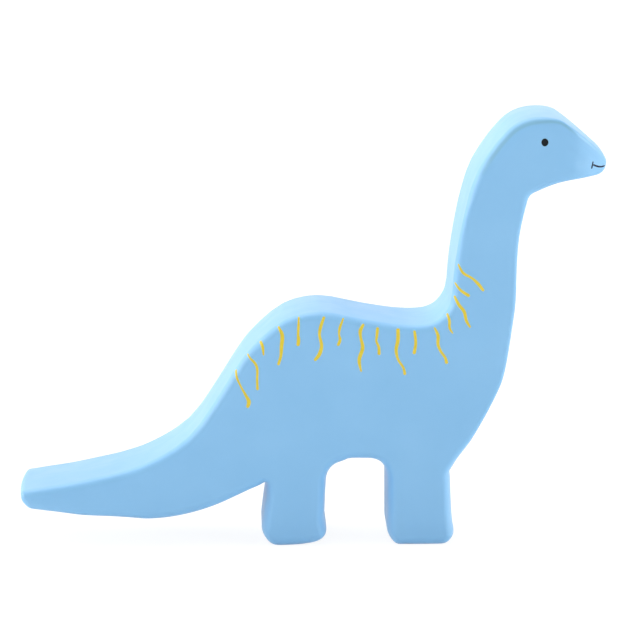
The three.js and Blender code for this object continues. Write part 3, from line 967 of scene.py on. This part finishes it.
def painted_rubber():
    """Pale blue paint on rubber, with painted shade that makes it a little darker and warmer along the
    crease.
    """
    material = surface_material(
        "painted_rubber",
        colours=((0.202, 0.450, 0.730), (0.218, 0.470, 0.750)),
        colour_scale=60,
        roughness=(0.38, 0.46),
        roughness_scale=150,
        relief=(900, 0.25, 0.02),
    )
    nodes = material.node_tree.nodes
    links = material.node_tree.links
    shader = nodes["Principled BSDF"]
    shader.inputs["Sheen Weight"].default_value = PAINT_SHEEN
    shader.inputs["Sheen Roughness"].default_value = PAINT_SHEEN_ROUGHNESS
    base = shader.inputs["Base Color"]
    # Painted shade: the crease's depth darkens and warms the paint's colour there
    crease = nodes.new("ShaderNodeAttribute")
    crease.attribute_name = "crease"
    painted_shade_mix = nodes.new("ShaderNodeMix")
    painted_shade_mix.data_type = "RGBA"
    painted_shade_mix.blend_type = "MULTIPLY"
    painted_shade_mix.inputs["B"].default_value = CREASE_PAINTED_SHADE
    links.new(crease.outputs["Fac"], painted_shade_mix.inputs["Factor"])
    links.new(base.links[0].from_socket, painted_shade_mix.inputs["A"])
    links.new(painted_shade_mix.outputs["Result"], base)
    return material


def stripe_paint():
    """Yellow brush strokes."""
    return surface_material(
        "stripe_paint",
        colours=((0.60, 0.47, 0.012), (0.69, 0.53, 0.025)),
        colour_scale=500,
        roughness=(0.3, 0.42),
        roughness_scale=600,
        relief=(2500, 0.4, 0.02),
    )


def face_paint():
    """Black paint of the eye."""
    return surface_material(
        "face_paint",
        colours=((0.004, 0.006, 0.008), (0.008, 0.010, 0.013)),
        colour_scale=500,
        roughness=(0.3, 0.42),
        roughness_scale=600,
        relief=(2500, 0.3, 0.02),
        shine=FACE_PAINT_SHINE,
    )


def mouth_paint():
    """Dark blue paint of the mouth."""
    return surface_material(
        "mouth_paint",
        colours=((0.006, 0.010, 0.03), (0.010, 0.016, 0.045)),
        colour_scale=500,
        roughness=(0.35, 0.5),
        roughness_scale=600,
        relief=(2500, 0.3, 0.02),
        shine=FACE_PAINT_SHINE,
    )


def plain_rubber():
    """Bare natural rubber of the plug."""
    return surface_material(
        "plain_rubber",
        colours=((0.72, 0.60, 0.36), (0.80, 0.68, 0.44)),
        colour_scale=250,
        roughness=(0.5, 0.62),
        roughness_scale=400,
        relief=(1500, 0.4, 0.03),
    )


def capsule_plastic():
    """White plastic of the capsule."""
    return surface_material(
        "capsule_plastic",
        colours=((0.85, 0.85, 0.82), (0.90, 0.90, 0.88)),
        colour_scale=150,
        roughness=(0.35, 0.5),
        roughness_scale=400,
        relief=(2000, 0.3, 0.02),
    )


def bead_plastic():
    """Glossy yellow plastic of the beads."""
    return surface_material(
        "bead_plastic",
        colours=((0.76, 0.44, 0.05), (0.84, 0.52, 0.08)),
        colour_scale=400,
        roughness=(0.22, 0.35),
        roughness_scale=500,
        relief=(1500, 0.2, 0.01),
    )


# Putting the pieces on their bodies


def settle(piece, body, material, replaced=None):
    """A piece with its material, riding a body, in place of a CAD node where one is named."""
    piece.data.materials.clear()
    piece.data.materials.append(material)
    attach(piece, body)
    if replaced:
        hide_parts(replaced)


def dress_body():
    """The two halves of the body, each with its stripes, eye and mouth."""
    blue, yellow, black, navy = painted_rubber(), stripe_paint(), face_paint(), mouth_paint()
    for piece, side_name, side in zip(body_halves(), ("right", "left"), (-1, 1)):
        settle(piece, "toy", blue, f"{side_name}_body_half")
        skin = Skin(piece, side)
        for number, path in enumerate(STRIPES, 1):
            mark = painted_stroke(skin, f"{side_name}_stripe_{number}", path)
            settle(mark, "toy", yellow)
        eye = painted_dot(skin, f"{side_name}_eye", EYE_CENTRE, EYE_RADII)
        settle(eye, "toy", black)
        for name, path in (("mouth_corner", MOUTH_TICK), ("smile", MOUTH_SMILE)):
            mark = painted_stroke(skin, f"{side_name}_{name}", path)
            settle(mark, "toy", navy)


def dress_inside():
    """The vent plug, the capsule and its loose beads."""
    cup, lid = capsule_halves()
    plastic = capsule_plastic()
    settle(vent_plug(), "toy", plain_rubber(), "vent_plug")
    settle(cup, "toy", plastic, "rattle_cup")
    settle(lid, "toy", plastic, "rattle_lid")
    yellow = bead_plastic()
    for body in frame["bodies"]:
        if body.startswith("bead_"):
            number = int(body.removeprefix("bead_"))
            settle(rattle_bead(number), body, yellow, f"rattle_bead_{number}")


# Stage: floor, light and camera

FLOOR_HALF_WIDTH = 6.0
FLOOR_COLOUR = (0.94, 0.94, 0.94)
FLOOR_ROUGHNESS = 0.9
FLOOR_GLOW = 0.8
FLOOR_GLOW_STRENGTH = 1.12
WORLD_LIGHT = 0.32
WORLD_BACKGROUND = 1.0

# Soft lamps: name, strength, direction the light comes from, and angle in degrees
LAMP_COLOUR = (1, 0.99, 0.96)
LAMPS = (
    ("top_lamp", 0.82, (-0.1, 0, 1), 50),
    ("top_back_lamp", 1.15, (-0.2, 0.5, 1), 50),
    ("back_lamp", 0.22, (-0.1, 1, 0.25), 50),
    ("left_back_lamp", 1.6, (-1, 0.2, 0.4), 60),
    ("left_lamp", 1.9, (-1, -0.35, 0.05), 50),
    ("right_back_lamp", 0.8, (1, 0.2, 0.12), 50),
    ("right_lamp", 2.6, (1, -0.35, 0.1), 50),
)

# Camera: what it looks at and how far away, degrees up and round, lens and sensor, and sight in metres
CAMERA_TARGET = (2.84, 0, 64.47)
CAMERA_DISTANCE = 868.7
CAMERA_ELEVATION = 12.25
CAMERA_AZIMUTH = -1.6
CAMERA_LENS = 168.1
CAMERA_SENSOR = 36.0
CAMERA_SIGHT = 100


def looked_at(nodes, links):
    """1 where the camera or a reflection looks, 0 for light that falls on the toy."""
    rays = nodes.new("ShaderNodeLightPath").outputs
    looks = nodes.new("ShaderNodeMath")
    looks.operation = "MAXIMUM"
    links.new(rays["Is Camera Ray"], looks.inputs[0])
    links.new(rays["Is Glossy Ray"], looks.inputs[1])
    return looks.outputs[0]


def make_world():
    """Even white all round, at a lower level as light than as background."""
    world = bpy.data.worlds.new("studio")
    world.use_nodes = True
    nodes, links = world.node_tree.nodes, world.node_tree.links
    level = nodes.new("ShaderNodeMapRange")
    level.inputs["To Min"].default_value = WORLD_LIGHT
    level.inputs["To Max"].default_value = WORLD_BACKGROUND
    links.new(looked_at(nodes, links), level.inputs["Value"])
    nodes["Background"].inputs["Color"].default_value = (1, 1, 1, 1)
    links.new(level.outputs["Result"], nodes["Background"].inputs["Strength"])
    bpy.context.scene.world = world


def make_floor():
    """Pale paper that shows as white, with the toy's shadow on it."""
    reach = FLOOR_HALF_WIDTH / MM
    corners = [(-reach, -reach, 0), (reach, -reach, 0), (reach, reach, 0), (-reach, reach, 0)]
    floor = mesh_object("floor", corners, [(0, 1, 2, 3)])
    material, nodes, links, shader, _ = new_material("floor_paper")
    shader.inputs["Base Color"].default_value = (*FLOOR_COLOUR, 1)
    shader.inputs["Roughness"].default_value = FLOOR_ROUGHNESS
    shader.inputs["Specular IOR Level"].default_value = 0
    white = nodes.new("ShaderNodeEmission")
    white.inputs["Strength"].default_value = FLOOR_GLOW_STRENGTH
    glow = nodes.new("ShaderNodeMath")
    glow.operation = "MULTIPLY"
    glow.inputs[1].default_value = FLOOR_GLOW
    links.new(looked_at(nodes, links), glow.inputs[0])
    mix = nodes.new("ShaderNodeMixShader")
    links.new(glow.outputs[0], mix.inputs[0])
    links.new(shader.outputs[0], mix.inputs[1])
    links.new(white.outputs[0], mix.inputs[2])
    links.new(mix.outputs[0], nodes["Material Output"].inputs["Surface"])
    floor.data.materials.append(material)


def make_lamps():
    """The soft lamps round the toy."""
    for name, strength, source, angle in LAMPS:
        light = bpy.data.lights.new(name, "SUN")
        light.energy = strength
        light.color = LAMP_COLOUR
        light.angle = math.radians(angle)
        lamp = bpy.data.objects.new(name, light)
        lamp.rotation_euler = Vector(source).to_track_quat("Z", "Y").to_euler()
        bpy.context.scene.collection.objects.link(lamp)


def make_camera():
    """The photograph's viewpoint: a long lens, a little above the toy."""
    azimuth, elevation = math.radians(CAMERA_AZIMUTH), math.radians(CAMERA_ELEVATION)
    level = math.cos(elevation)
    back = Vector((math.sin(azimuth) * level, -math.cos(azimuth) * level, math.sin(elevation)))
    data = bpy.data.cameras.new("camera")
    data.lens = CAMERA_LENS
    data.sensor_width = CAMERA_SENSOR
    data.clip_end = CAMERA_SIGHT
    camera = bpy.data.objects.new("camera", data)
    camera.location = (Vector(CAMERA_TARGET) + back * CAMERA_DISTANCE) * MM
    camera.rotation_euler = back.to_track_quat("Z", "Y").to_euler()
    bpy.context.scene.collection.objects.link(camera)
    bpy.context.scene.camera = camera


# The whole scene

dress_body()
dress_inside()
make_world()
make_floor()
make_lamps()
make_camera()
bpy.context.scene.view_settings.view_transform = "Standard"

bpy.context.view_layer.update()
